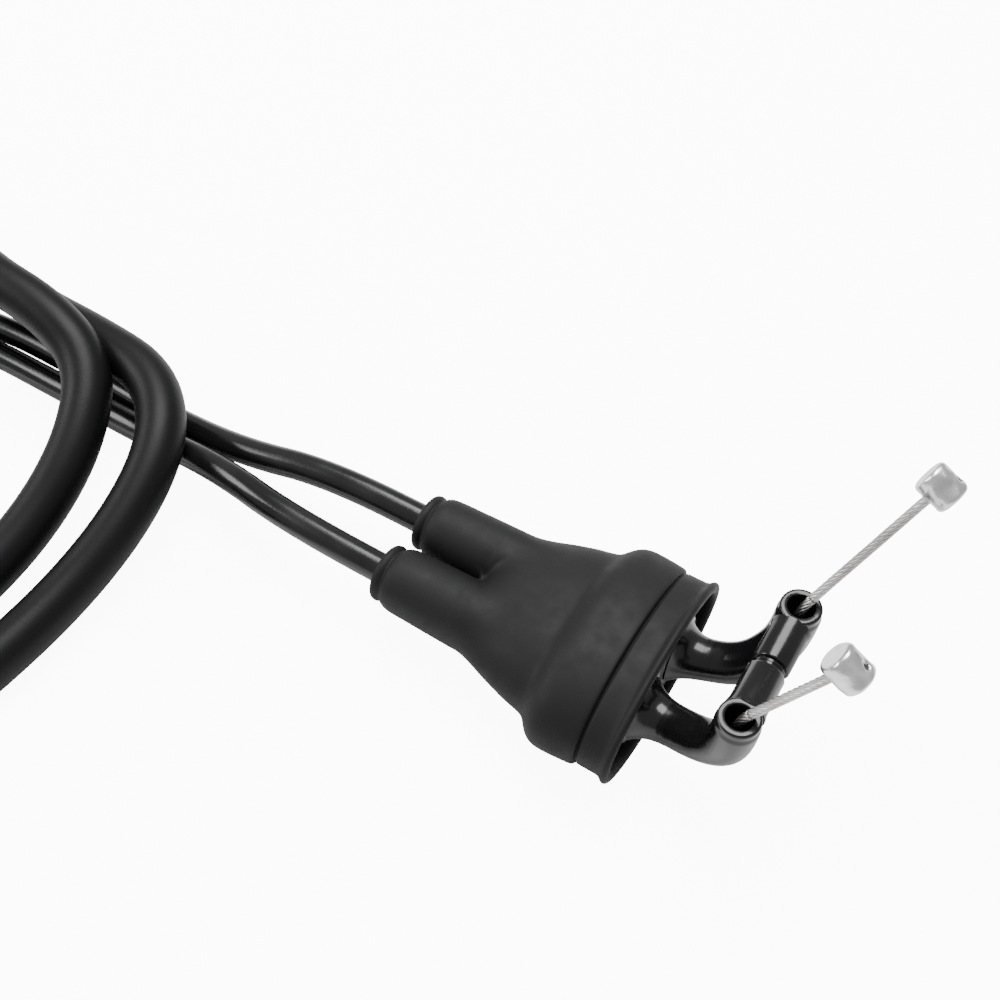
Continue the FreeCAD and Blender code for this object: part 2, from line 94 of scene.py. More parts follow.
RETURN_ROUTE = [
    (CASING_START_X, CABLE_HALF_SPACING, 0.0),
    (-38.0, CABLE_HALF_SPACING, 0.0),
    (-65.0, 5.6, -0.1),
    (-82.0, 3.3, -3.2),
    (-101.0, 4.4, -6.5),
    (-122.0, 6.2, CASING_ON_SURFACE),
    (-146.0, 6.2, CASING_ON_SURFACE),
    (-171.0, -0.5, CASING_ON_SURFACE),
    (-190.0, -16.0, -7.4),
    (-199.0, -38.0, CASING_IN_TIE),
    (-198.0, -63.0, CASING_IN_TIE),
    (-186.0, -86.0, -6.6),
    (-165.0, -102.0, HOSE_ON_SURFACE),
    (-139.0, -106.0, HOSE_ON_SURFACE),
    (-113.0, -98.0, HOSE_ON_SURFACE),
    (-94.5, -79.0, HOSE_ON_SURFACE),
    (-90.5, -55.0, HOSE_ON_SURFACE),
    (-88.5, -35.0, -5.4),
    (-87.8, -18.0, -1.0),
    (-91.0, -4.5, 3.4),
    (-100.5, 4.0, 4.8),
    (-115.0, 5.6, 4.4),
    (-132.0, 7.0, 2.6),
    (-152.0, 11.5, -1.2),
    (-175.0, 10.0, HOSE_ON_SURFACE),
    (-195.0, -2.0, -6.0),
    (-206.0, -20.0, -5.4),
    (-208.5, -40.0, FITTINGS_Z),
    (-208.5, -55.0, FITTINGS_Z),
]
ROUTES = {"pull": PULL_ROUTE, "return": RETURN_ROUTE}


def mm(point):
    return Vector(point) * MM


# Camera, at the photograph's angle


def make_camera():
    back = Vector((0.310, -0.524, 0.793)).normalized()
    right = Vector((0.852, 0.524, 0.013))
    right = (right - back * right.dot(back)).normalized()
    up = back.cross(right)
    data = bpy.data.cameras.new("camera")
    data.lens = 45.27
    data.sensor_width = 36
    data.clip_start = 0.005
    data.clip_end = 20
    camera = bpy.data.objects.new("camera", data)
    bpy.context.scene.collection.objects.link(camera)
    turn = Matrix((right, up, back)).transposed().to_4x4()
    camera.matrix_world = Matrix.Translation(mm((26.33, -92.61, 164.14))) @ turn
    bpy.context.scene.camera = camera


make_camera()


# Cords


def nurbs_curve(name, points):
    """An open NURBS spline of order 3 through to its end points, with the points as its controls."""
    data = bpy.data.curves.new(name, "CURVE")
    data.dimensions = "3D"
    data.resolution_u = 12
    spline = data.splines.new("NURBS")
    spline.points.add(len(points) - 1)
    for control, point in zip(spline.points, points):
        control.co = (*mm(point), 1)
    spline.order_u = 3
    spline.use_endpoint_u = True
    return data


def read_line(name, points):
    """Points along the smooth line that a NURBS spline with these controls makes."""
    data = nurbs_curve(name, points)
    obj = bpy.data.objects.new(name, data)
    bpy.context.scene.collection.objects.link(obj)
    bpy.context.view_layer.update()
    mesh = bpy.data.meshes.new_from_object(obj)
    line = [vertex.co.copy() for vertex in mesh.vertices]
    bpy.data.objects.remove(obj)
    bpy.data.curves.remove(data)
    bpy.data.meshes.remove(mesh)
    return line


def casing(side):
    data = nurbs_curve(side + "_cable", ROUTES[side])
    data.bevel_depth = CASING_DIAMETER / 2 * MM
    data.bevel_resolution = 7
    data.use_fill_caps = True
    obj = bpy.data.objects.new(side + "_cable", data)
    bpy.context.scene.collection.objects.link(obj)
    return obj


# Meshes


def new_piece(name, bm, body, slot, material, *nodes):
    """A smooth-shaded object from the mesh, riding on the body and standing for the CAD nodes."""
    mesh = bpy.data.meshes.new(name)
    bmesh.ops.recalc_face_normals(bm, faces=bm.faces)
    bm.to_mesh(mesh)
    bm.free()
    mesh.shade_smooth()
    obj = bpy.data.objects.new(name, mesh)
    bpy.context.scene.collection.objects.link(obj)
    return finish_piece(obj, body, slot, material, *nodes)


def finish_piece(obj, body, slot, material, *nodes):
    obj.data.materials.append(material)
    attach(obj, body)
    if nodes:
        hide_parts(*nodes)
    return obj


def subdivide(obj, levels=1):
    modifier = obj.modifiers.new("smooth", "SUBSURF")
    modifier.levels = levels
    modifier.render_levels = levels
    return obj


def sharpen(obj, degrees=35):
    """Keeps edges that turn by more than this crisp under smooth shading."""
    obj.data.set_sharp_from_angle(angle=math.radians(degrees))
    return obj


def bridge(bm, rings, close_line=False, caps=True):
    """Quads between rings of points. Each ring is closed; the rings can close on the first one too."""
    made = [[bm.verts.new(point) for point in ring] for ring in rings]
    pairs = list(zip(made, made[1:]))
    if close_line:
        pairs.append((made[-1], made[0]))
    for first, second in pairs:
        count = len(first)
        for k in range(count):
            n = (k + 1) % count
            bm.faces.new((first[k], first[n], second[n], second[k]))
    if caps and not close_line:
        bm.faces.new(made[0])
        bm.faces.new(list(reversed(made[-1])))


def frames_along(line):
    """Each point with its direction and two directions across it that don't twist along the line."""
    tangents = []
    for k in range(len(line)):
        before = line[max(k - 1, 0)]
        after = line[min(k + 1, len(line) - 1)]
        tangents.append((after - before).normalized())
    across = tangents[0].orthogonal().normalized()
    frames = []
    for point, tangent in zip(line, tangents):
        across = (across - tangent * across.dot(tangent)).normalized()
        frames.append((point, tangent, across, tangent.cross(across)))
    return frames


def circle(point, across, other, radius, count):
    return [
        point
        + across * (radius * math.cos(math.tau * k / count))
        + other * (radius * math.sin(math.tau * k / count))
        for k in range(count)
    ]


def distances(line):
    run = [0.0]
    for a, b in zip(line, line[1:]):
        run.append(run[-1] + (b - a).length)
    return run


def resample(line, step):
    """Points along the line, all one step apart."""
    run = distances(line)
    count = max(2, round(run[-1] / step))
    points = []
    k = 0
    for i in range(count + 1):
        target = run[-1] * i / count
        while k < len(run) - 2 and run[k + 1] < target:
            k += 1
        share = (target - run[k]) / max(run[k + 1] - run[k], 1e-12)
        points.append(line[k].lerp(line[k + 1], min(max(share, 0), 1)))
    return points


def smooth_step(share):
    share = min(max(share, 0.0), 1.0)
    return share * share * (3 - 2 * share)


def between(stations, x):
    """Straight-line values between stations sorted by their first number."""
    if x <= stations[0][0]:
        return stations[0][1:]
    for low, high in zip(stations, stations[1:]):
        if x <= high[0]:
            share = (x - low[0]) / (high[0] - low[0])
            return [a + (b - a) * share for a, b in zip(low[1:], high[1:])]
    return stations[-1][1:]


def lathe(bm, base, direction, profile, count=64):
    """A closed turned shape. The profile is (distance along, radius) in millimetres, in order round it."""
    direction = direction.normalized()
    across = direction.orthogonal().normalized()
    other = direction.cross(across)
    rings = [
        circle(base + direction * (along * MM), across, other, radius * MM, count)
        for along, radius in profile
    ]
    bridge(bm, rings, close_line=True)


# Materials


def material(name, colour, roughness, metallic=0.0, specular=0.5, coat=0.0):
    made = bpy.data.materials.new(name)
    made.use_nodes = True
    shader = made.node_tree.nodes["Principled BSDF"]
    shader.inputs["Base Color"].default_value = (*colour, 1)
    shader.inputs["Roughness"].default_value = roughness
    shader.inputs["Metallic"].default_value = metallic
    shader.inputs["Specular IOR Level"].default_value = specular
    shader.inputs["Coat Weight"].default_value = coat
    return made


def add_node(made, kind, **values):
    node = made.node_tree.nodes.new(kind)
    for name, value in values.items():
        if name in node.inputs:
            node.inputs[name].default_value = value
        else:
            setattr(node, name, value)
    return node


def link(made, source, output, target, socket):
    made.node_tree.links.new(source.outputs[output], target.inputs[socket])


def noise(made, scale, detail=4.0, stretch=(1, 1, 1)):
    """Noise over the model's own coordinates. The scale is per metre."""
    coordinates = add_node(made, "ShaderNodeTexCoord")
    mapping = add_node(made, "ShaderNodeMapping")
    mapping.inputs["Scale"].default_value = stretch
    texture = add_node(made, "ShaderNodeTexNoise", Scale=scale, Detail=detail)
    link(made, coordinates, "Object", mapping, "Vector")
    link(made, mapping, "Vector", texture, "Vector")
    return texture


def vary(made, texture, socket, low, high):
    """Drives a number of the shader from the texture, between low and high."""
    ranged = add_node(made, "ShaderNodeMapRange")
    ranged.inputs["From Min"].default_value = 0.3
    ranged.inputs["From Max"].default_value = 0.7
    ranged.inputs["To Min"].default_value = low
    ranged.inputs["To Max"].default_value = high
    link(made, texture, 0, ranged, "Value")
    link(made, ranged, "Result", made.node_tree.nodes["Principled BSDF"], socket)


def tint(made, texture, dark, light):
    """Drives the colour from the texture, between dark and light."""
    ramp = add_node(made, "ShaderNodeValToRGB")
    ramp.color_ramp.elements[0].position = 0.3
    ramp.color_ramp.elements[0].color = (*dark, 1)
    ramp.color_ramp.elements[1].position = 0.7
    ramp.color_ramp.elements[1].color = (*light, 1)
    link(made, texture, 0, ramp, "Fac")
    link(made, ramp, "Color", made.node_tree.nodes["Principled BSDF"], "Base Color")


def bumps(made, *layers):
    """Surface relief from textures, each with its height in millimetres."""
    previous = None
    for texture, height in layers:
        bump = add_node(made, "ShaderNodeBump", Strength=1.0, Distance=height * MM)
        link(made, texture, 0, bump, "Height")
        if previous:
            link(made, previous, "Normal", bump, "Normal")
        previous = bump
    link(made, previous, "Normal", made.node_tree.nodes["Principled BSDF"], "Normal")


def boot_rubber():
    made = material("boot_rubber", (0.006, 0.006, 0.0064), 0.6, specular=0.22)
    broad = noise(made, 60)
    grain = noise(made, 2600, 3)
    specks = noise(made, 420, 6)
    tint(made, broad, (0.0052, 0.0052, 0.0056), (0.0072, 0.0072, 0.0076))
    vary(made, specks, "Roughness", 0.56, 0.66)
    bumps(made, (grain, 0.012), (specks, 0.006))
    return made


def gloss_plastic():
    made = material("gloss_plastic", (0.004, 0.004, 0.0045), 0.2, specular=0.35, coat=0.12)
    made.node_tree.nodes["Principled BSDF"].inputs["Coat Roughness"].default_value = 0.12
    flow = noise(made, 240, 3)
    fine = noise(made, 1900, 2)
    tint(made, noise(made, 90), (0.0035, 0.0035, 0.004), (0.006, 0.006, 0.0065))
    vary(made, flow, "Roughness", 0.14, 0.27)
    bumps(made, (flow, 0.025), (fine, 0.006))
    return made


def cable_plastic():
    made = material("cable_plastic", (0.004, 0.004, 0.0044), 0.26, specular=0.38)
    broad = noise(made, 110, 3)
    fine = noise(made, 1500, 3)
    tint(made, broad, (0.004, 0.004, 0.0045), (0.008, 0.008, 0.0085))
    vary(made, broad, "Roughness", 0.17, 0.30)
    bumps(made, (broad, 0.05), (fine, 0.01))
    return made


def hose_rubber():
    made = material("hose_rubber", (0.0035, 0.0035, 0.0038), 0.42, specular=0.16)
    broad = noise(made, 45, 3)
    fine = noise(made, 1700, 4)
    tint(made, broad, (0.0028, 0.0028, 0.0031), (0.0042, 0.0042, 0.0045))
    vary(made, broad, "Roughness", 0.38, 0.52)
    bumps(made, (broad, 0.08), (fine, 0.016))
    return made


def steel(name, colour, dark, rough, smooth):
    made = material(name, colour, rough, metallic=1.0)
    broad = noise(made, 300, 4)
    fine = noise(made, 2400, 3)
    tint(made, broad, dark, colour)
    vary(made, fine, "Roughness", smooth, rough)
    bumps(made, (fine, 0.008))
    return made


def cast_alloy():
    made = material("cast_alloy", (0.80, 0.80, 0.82), 0.25, metallic=1.0)
    lumps = noise(made, 520, 5)
    fine = noise(made, 2600, 4)
    tint(made, lumps, (0.62, 0.60, 0.63), (0.90, 0.89, 0.91))
    vary(made, lumps, "Roughness", 0.16, 0.36)
    bumps(made, (lumps, 0.09), (fine, 0.02))
    return made


BOOT_RUBBER = boot_rubber()
GLOSS_PLASTIC = gloss_plastic()
CABLE_PLASTIC = cable_plastic()
HOSE_RUBBER = hose_rubber()
SEAL_RUBBER = BOOT_RUBBER
WIRE_STEEL = steel("wire_steel", (0.62, 0.61, 0.60), (0.40, 0.39, 0.38), 0.42, 0.26)
PLATED_STEEL = steel("plated_steel", (0.72, 0.70, 0.62), (0.52, 0.50, 0.43), 0.38, 0.22)
CAST_ALLOY = cast_alloy()
# Painted shade: a dark material laid on the middle of each barrel's sunk pit
PIT_PAINTED_SHADE = material("pit_painted_shade", (0.05, 0.048, 0.046), 0.8, metallic=0.3)
TIE_NYLON = gloss_plastic()


# Rubber boot. Its right half is one closed grid of rings round the return cable's line, outside and
# inside, and the left half mirrors it.

# Outside: distance from the mouth, half width and half height of the oval body, radius of the sleeve
BOOT_OUTSIDE = [
    (-0.8, 17.75, 9.35, 5.0),
    (-0.8, 18.25, 9.85, 5.0),
    (-0.6, 18.62, 10.22, 5.0),
    (-0.25, 18.8, 10.4, 5.0),
    (0.15, 18.7, 10.3, 5.0),
    (0.45, 18.4, 10.0, 5.0),
    (0.75, 18.15, 9.75, 5.0),
    (1.3, 18.05, 9.65, 5.0),
    (2.8, 18.06, 9.66, 5.0),
    (4.3, 18.08, 9.68, 5.0),
    (4.42, 17.95, 9.55, 5.0),
    (4.5, 17.6, 9.2, 5.0),
    (4.72, 17.6, 9.2, 5.0),
    (4.8, 18.1, 9.7, 5.0),
    (4.95, 18.42, 9.92, 5.0),
    (5.3, 18.6, 10.02, 5.0),
    (6.5, 18.72, 10.08, 5.0),
    (8.5, 18.88, 10.16, 5.0),
    (10.0, 18.95, 10.2, 5.0),
    (11.0, 18.9, 10.16, 5.0),
    (11.9, 18.68, 10.02, 5.0),
    (12.7, 18.25, 9.75, 5.0),
    (13.4, 17.6, 9.4, 5.0),
    (14.0, 16.85, 9.02, 5.0),
    (14.5, 16.2, 8.72, 5.0),
    (15.0, 15.8, 8.52, 5.0),
    (15.6, 15.55, 8.42, 5.0),
    (16.6, 15.3, 8.34, 5.1),
    (18.5, 14.9, 8.1, 5.2),
    (20.5, 14.3, 7.7, 5.3),
    (22.5, 13.7, 7.2, 5.45),
    (24.5, 13.0, 6.7, 5.6),
    (26.5, 12.3, 6.2, 5.7),
    (28.2, 11.7, 5.5, 5.7),
    (29.5, 11.0, 4.4, 5.68),
    (30.4, 10.3, 3.0, 5.66),
    (31.0, 9.6, 1.5, 5.65),
    (31.3, 9.0, 0.5, 5.64),
    (31.5, 5.0, 0.05, 5.63),
    (33.0, 0.0, 0.0, 5.6),
    (35.0, 0.0, 0.0, 5.55),
    (37.5, 0.0, 0.0, 5.48),
    (40.0, 0.0, 0.0, 5.42),
    (41.6, 0.0, 0.0, 5.38),
    (42.5, 0.0, 0.0, 5.28),
    (43.2, 0.0, 0.0, 5.08),
    (43.7, 0.0, 0.0, 4.78),
    (43.95, 0.0, 0.0, 4.5),
    (44.1, 0.0, 0.0, 4.42),
    (44.3, 0.0, 0.0, 4.55),
    (44.6, 0.0, 0.0, 4.74),
    (45.0, 0.0, 0.0, 4.8),
    (45.4, 0.0, 0.0, 4.72),
    (45.7, 0.0, 0.0, 4.45),
    (45.8, 0.0, 0.0, 4.05),
    (45.8, 0.0, 0.0, 3.2),
]
# Inside, back from the sleeve's end to the mouth
BOOT_INSIDE = [
    (45.6, 0.0, 0.0, 2.8),
    (44.0, 0.0, 0.0, 2.8),
    (38.0, 0.0, 0.0, 2.8),
    (32.0, 0.0, 0.0, 2.8),
    (29.2, 0.0, 0.0, 2.8),
    (28.7, 6.0, 0.1, 2.8),
    (28.4, 9.2, 2.6, 2.8),
    (28.0, 9.8, 3.6, 2.8),
    (26.0, 10.4, 4.4, 2.8),
    (22.0, 11.6, 5.5, 2.8),
    (17.0, 13.0, 6.6, 2.8),
    (14.0, 13.9, 7.1, 2.8),
    (12.6, 15.2, 7.6, 2.8),
    (11.0, 16.6, 8.3, 2.8),
    (9.0, 17.1, 8.5, 2.8),
    (5.0, 16.8, 8.35, 2.8),
    (0.6, 16.7, 8.3, 2.8),
    (-0.35, 16.85, 8.45, 2.8),
    (-0.72, 17.2, 8.8, 2.8),
]
OUTER_ARC_POINTS = 72
INNER_ARC_POINTS = 24
BLEND = 1.4
CLOSED_SLEEVE_ANGLE = math.radians(150)


def oval_distance(half_width, half_height, angle):
    """How far the oval's edge is from the cable's line, in this direction across the boot."""
    if half_width <= CABLE_HALF_SPACING or half_height <= 0:
        return 0.0
    u = math.cos(angle) / half_width
    v = math.sin(angle) / half_height
    start = CABLE_HALF_SPACING / half_width
    a = u * u + v * v
    b = start * u
    c = start * start - 1
    return (-b + math.sqrt(b * b - a * c)) / a


def boot_distance(station, angle):
    """The oval body and the sleeve as one smooth outline, seen from the cable's line."""
    oval = oval_distance(station[1], station[2], angle)
    sleeve = station[3]
    share = min(max(0.5 + 0.5 * (oval - sleeve) / BLEND, 0), 1)
    return sleeve + (oval - sleeve) * share + BLEND * share * (1 - share) * 0.5


def boot_ring(station):
    """One ring of the right half: round the outside, then back along the middle plane or sleeve."""

    def past_middle(angle):
        return boot_distance(station, angle) * math.cos(angle) + CABLE_HALF_SPACING < 0

    low = math.pi / 2
    high = math.pi
    corner = CLOSED_SLEEVE_ANGLE
    crosses = past_middle(math.pi)
    if crosses:
        for _ in range(40):
            middle = (low + high) / 2
            if past_middle(middle):
                high = middle
            else:
                low = middle
        corner = low
    ring = []
    for k in range(OUTER_ARC_POINTS):
        angle = -corner + 2 * corner * k / OUTER_ARC_POINTS
        reach = boot_distance(station, angle)
        ring.append((reach * math.cos(angle) + CABLE_HALF_SPACING, reach * math.sin(angle)))
    top = boot_distance(station, corner) * math.sin(corner)
    for k in range(INNER_ARC_POINTS):
        share = k / INNER_ARC_POINTS
        if crosses:
            ring.append((0.0, top * (1 - 2 * share)))
        else:
            angle = corner + (math.tau - 2 * corner) * share
            reach = boot_distance(station, angle)
            ring.append((reach * math.cos(angle) + CABLE_HALF_SPACING, reach * math.sin(angle)))
    if crosses:
        ring[0] = (0.0, -top)
    return [mm((-station[0], y, z)) for y, z in ring]


def make_boot():
    bm = bmesh.new()
    rings = [boot_ring(station) for station in BOOT_OUTSIDE + BOOT_INSIDE]
    bridge(bm, rings, close_line=True)
    on_plane = [f for f in bm.faces if all(abs(v.co.y) < 1e-7 for v in f.verts)]
    bmesh.ops.delete(bm, geom=on_plane, context="FACES")
    whole = bm.verts[:] + bm.edges[:] + bm.faces[:]
    copy = bmesh.ops.duplicate(bm, geom=whole)["geom"]
    copied = [g for g in copy if isinstance(g, bmesh.types.BMVert)]
    for vertex in copied:
        vertex.co.y = -vertex.co.y
    bmesh.ops.reverse_faces(bm, faces=[g for g in copy if isinstance(g, bmesh.types.BMFace)])
    bmesh.ops.remove_doubles(bm, verts=bm.verts, dist=1e-6)
    valley = [v for v in bm.verts if abs(v.co.y) < 2.6 * MM and -0.0325 < v.co.x < -0.0155]
    for _ in range(4):
        bmesh.ops.smooth_vert(bm, verts=valley, factor=0.5, use_axis_x=True, use_axis_y=True, use_axis_z=True)
    boot = new_piece("boot_skin", bm, "boot", "boot_rubber", BOOT_RUBBER, "rubber_boot")
    return subdivide(boot)


# Elbows

FLANGE_THICKNESS = 3.0
FLANGE_HALF_LENGTH = 12.5
FLANGE_HALF_HEIGHT = 6.5
PARTING_GAP = 0.1
ELBOW_REAR_X = -8.0
OUTLET_X = 14.2
OUTLET_HALF_SPACING = 10.0
OUTLET_Z = 18.55
BAR_Z = 15.8
BAR_RADIUS = 2.75
BAR_GROOVE = 1.0
# Radius of the elbow by distance from its rear end: neck, flare from the flange, then the tube
ELBOW_RADII = [
    (0.0, 3.2),
    (7.9, 3.2),
    (8.0, 5.3),
    (8.5, 4.75),
    (9.1, 4.3),
    (9.9, 3.85),
    (10.9, 3.5),
    (12.2, 3.28),
    (13.6, 3.2),
]


def elbow_line(side):
    cable_y = side * CABLE_HALF_SPACING
    outlet_y = side * OUTLET_HALF_SPACING
    return [
        (ELBOW_REAR_X, cable_y, 0),
        (-3.0, cable_y, 0),
        (3.6, cable_y + side * 0.2, 0.2),
        (9.8, cable_y + side * 1.4, 2.6),
        (13.3, outlet_y - side * 1.0, 8.2),
        (OUTLET_X, outlet_y, 13.8),
        (OUTLET_X, outlet_y, OUTLET_Z),
    ]


def add_elbow_tube(bm, side):
    """The bent tube with its flare, its narrower collar, its rounded mouth and its bore."""
    line = resample(read_line("elbow_line", elbow_line(side)), 0.3 * MM)
    run = distances(line)
    whole = run[-1]
    rings = []
    frames = frames_along(line)
    for distance, (point, tangent, across, other) in zip(run, frames):
        radius = between(ELBOW_RADII, distance / MM)[0]
        to_end = (whole - distance) / MM
        if to_end < 1.3:
            radius = 3.0
        elif to_end < 1.6:
            radius = 3.0 + 0.2 * (to_end - 1.3) / 0.3
        if to_end > 0.35:
            rings.append(circle(point, across, other, radius * MM, 48))
    point, tangent, across, other = frames[-1]
    lip = ((0.3, 3.0), (0.12, 2.94), (0.02, 2.8), (0.0, 2.6), (0.0, 2.2), (0.06, 2.02), (0.3, 1.9))
    for back, radius in lip:
        rings.append(circle(point - tangent * back * MM, across, other, radius * MM, 48))
    for distance, (point, tangent, across, other) in reversed(list(zip(run, frames))):
        if (whole - distance) / MM > 0.6:
            rings.append(circle(point, across, other, 1.9 * MM, 48))
    bridge(bm, rings, close_line=True)


def flange_outline(side, inset, height_inset):
    """Half an oval, rounded where it meets the parting line."""
    half_length = FLANGE_HALF_LENGTH - inset
    half_height = FLANGE_HALF_HEIGHT - height_inset
    edge = PARTING_GAP / 2 + inset * 0.5
    points = []
    count = 40
    limit = math.acos(min(edge / half_length, 1))
    for k in range(count + 1):
        angle = -limit + 2 * limit * k / count
        points.append((side * half_length * math.cos(angle), half_height * math.sin(angle)))
    return points


def add_flange(bm, side):
    stations = [
        (-FLANGE_THICKNESS, 0.5),
        (-FLANGE_THICKNESS + 0.15, 0.15),
        (-FLANGE_THICKNESS + 0.5, 0.0),
        (-1.1, 0.0),
        (-0.62, 0.12),
        (-0.28, 0.4),
        (-0.07, 0.8),
        (0.0, 1.3),
    ]
    rings = [
        [mm((x, y, z)) for y, z in flange_outline(side, inset, inset)]
        for x, inset in stations
    ]
    bridge(bm, rings)


def add_bar(bm, side):
    inner = BAR_GROOVE / 2
    outer = OUTLET_HALF_SPACING
    base = mm((OUTLET_X, 0, BAR_Z))
    profile = [(inner, 0.02), (inner, BAR_RADIUS - 0.35)]
    profile += [(inner + 0.1, BAR_RADIUS - 0.12), (inner + 0.35, BAR_RADIUS)]
    profile += [(outer - 3.4, BAR_RADIUS), (outer - 3.0, BAR_RADIUS + 0.12), (outer - 2.4, BAR_RADIUS + 0.2)]
    profile += [(outer - 2.2, 0.02)]
    lathe(bm, base, Vector((0, side, 0)), profile)


def add_bar_core(bm, side):
    """The thin web that shows, dark, in the groove between the two half bars."""
    base = mm((OUTLET_X, 0, BAR_Z))
    profile = [(0.05, 0.02), (0.05, 2.3), (BAR_GROOVE / 2 + 0.2, 2.3), (BAR_GROOVE / 2 + 0.2, 0.02)]
    lathe(bm, base, Vector((0, side, 0)), profile)


def add_nib(bm, side):
    y = side * (CABLE_HALF_SPACING + 1.1)
    profile = [(0.0, 0.02), (0.0, 0.95), (2.2, 0.8), (3.0, 0.72), (3.25, 0.6), (3.4, 0.35), (3.45, 0.02)]
    lathe(bm, mm((8.5, y, 0.8)), Vector((0, 0, -1)), profile, 20)


def make_elbow(name, side):
    bm = bmesh.new()
    add_elbow_tube(bm, side)
    add_flange(bm, side)
    add_bar(bm, side)
    add_bar_core(bm, side)
    add_nib(bm, side)
    shell = new_piece(
        name + "_elbow_shell", bm, "root", "elbow_plastic", GLOSS_PLASTIC, name + "_elbow"
    )
    return sharpen(shell, 40)


# Stranded wires and barrel nipples

WIRE_KINK_Z = 17.7
WIRE_MOUTH_LENGTH = 2.2
NIPPLE_SEAT = 0.8
NIPPLES = {
    "pull": ((23.7, -5.8, 33.4), (0.894, 0.0, -0.448)),
    "return": ((23.8, 23.9, 36.6), (0.864, -0.231, -0.448)),
}
STRANDS = 8
STRAND_RADIUS = 0.245
STRAND_LAY = 7.5


def add_strands(bm, line, phase=0.0):
    """Strands laid round the line, with a core, as one stranded wire."""
    line = resample(line, 0.35 * MM)
    frames = frames_along(line)
    run = distances(line)
    lay_radius = WIRE_DIAMETER / 2 - STRAND_RADIUS
    for strand in range(STRANDS):
        own = []
        for distance, (point, tangent, across, other) in zip(run, frames):
            angle = math.tau * (strand / STRANDS + distance / (STRAND_LAY * MM)) + phase
            out = across * math.cos(angle) + other * math.sin(angle)
            own.append(point + out * (lay_radius * MM))
        rings = [
            circle(point, across, other, STRAND_RADIUS * MM, 8)
            for point, tangent, across, other in frames_along(own)
        ]
        bridge(bm, rings)
    core = [circle(p, a, o, lay_radius * 0.95 * MM, 10) for p, t, a, o in frames]
    bridge(bm, core)


def wire_geometry(name, side):
    kink = Vector((OUTLET_X, side * OUTLET_HALF_SPACING, WIRE_KINK_Z))
    centre = Vector(NIPPLES[name][0])
    way = (centre - kink).normalized()
    return kink, way, centre


def make_elbow_wire(name, side):
    kink, way, _ = wire_geometry(name, side)
    points = [(CASING_START_X, side * CABLE_HALF_SPACING, 0)] + elbow_line(side)[:-1]
    points.append(tuple(kink - Vector((0, 0, 0.5))))
    points.append(tuple(kink + way * WIRE_MOUTH_LENGTH))
    bm = bmesh.new()
    add_strands(bm, read_line("elbow_wire_line", points))
    return new_piece(
        name + "_elbow_strands", bm, "root", "wire_steel", WIRE_STEEL, name + "_elbow_wire"
    )


def make_throttle_wire(name, side):
    """The bare wire, which runs into the elbow as its nipple is let in."""
    kink, way, centre = wire_geometry(name, side)
    start = kink + way * WIRE_MOUTH_LENGTH
    end = centre - way * NIPPLE_SEAT
    bm = bmesh.new()
    add_strands(bm, [mm(start), mm(end)], 0.6)
    wire = new_piece(
        name + "_throttle_strands", bm, "root", "wire_steel", WIRE_STEEL, name + "_throttle_wire"
    )
    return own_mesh(wire)


def barrel_profile(length, radius, edge):
    """Half a barrel's section, from the middle of one end to the middle of the other."""
    half = length / 2
    profile = [(-half + 0.12, 0.0), (-half + 0.1, radius * 0.45), (-half, radius * 0.62)]
    for k in range(7):
        turn = math.pi / 2 * k / 6
        profile.append((
            -half + edge - edge * math.cos(turn),
            radius - edge + edge * math.sin(turn),
        ))
    count = 8
    for k in range(1, count):
        profile.append((-half + edge + (half - edge) * k / count, radius))
    return profile + [(-along, r) for along, r in reversed(profile)]


def make_barrel(piece, centre, lie, way, length, radius, edge, pit, body, slot, node):
    """A cast barrel across the wire. Where the wire's end was filled with metal it has a sunk pit, and the
    faces in the pit's middle get painted shade.
    """
    axis = (lie - way * lie.dot(way)).normalized()
    other = axis.cross(way)
    profile = barrel_profile(length, radius, edge)
    count = 96
    bm = bmesh.new()
    rings = []
    for along, r in profile:
        ring = []
        for k in range(count):
            angle = math.tau * k / count
            out = way * math.cos(angle) + other * math.sin(angle)
            uneven = 0.035 * math.sin(3 * angle + 1.7 * along) + 0.025 * math.sin(7 * angle - 2.9 * along)
            point = out * (max(r, 0.02) + uneven * min(1, r / radius) ** 2) + axis * along
            flat = point - way * point.dot(way)
            from_pit = (flat - axis * pit[0]).length
            if point.dot(way) > 0 and from_pit < pit[1]:
                depth = pit[2] * smooth_step(1 - from_pit / pit[1])
                point -= way * depth
            ring.append(mm(centre + point))
        rings.append(ring)
    bridge(bm, rings)
    barrel = new_piece(piece, bm, body, slot, CAST_ALLOY, node)
    # The second material puts painted shade on the faces in the middle of the pit
    barrel.data.materials.append(PIT_PAINTED_SHADE)
    for face in barrel.data.polygons:
        offset = face.center / MM - centre
        flat = offset - way * offset.dot(way)
        if offset.dot(way) > 0 and (flat - axis * pit[0]).length < pit[1] * 0.5:
            face.material_index = 1
    return barrel


def make_throttle_barrel(name, side):
    _, way, centre = wire_geometry(name, side)
    lie = Vector(NIPPLES[name][1])
    return make_barrel(
        name + "_throttle_barrel", centre, lie, way, 5.0, 2.5, 0.7, (0.7, 0.85, 0.55),
        name + "_wire_end", "nipple_metal", name + "_throttle_nipple",
    )


# Hoses over the casings

HOSE_RUNS = (12, 23)


def hose_line(name):
    """The stretch of the casing's smooth line that its hose covers."""
    points = ROUTES[name]
    line = read_line(name + "_hose_line", points)
    ends = []
    for run in HOSE_RUNS:
        middle = mm((Vector(points[run]) + Vector(points[run + 1])) / 2)
        ends.append(min(range(len(line)), key=lambda k: (line[k] - middle).length))
    return resample(line[ends[0] : ends[1] + 1], 1.5 * MM)


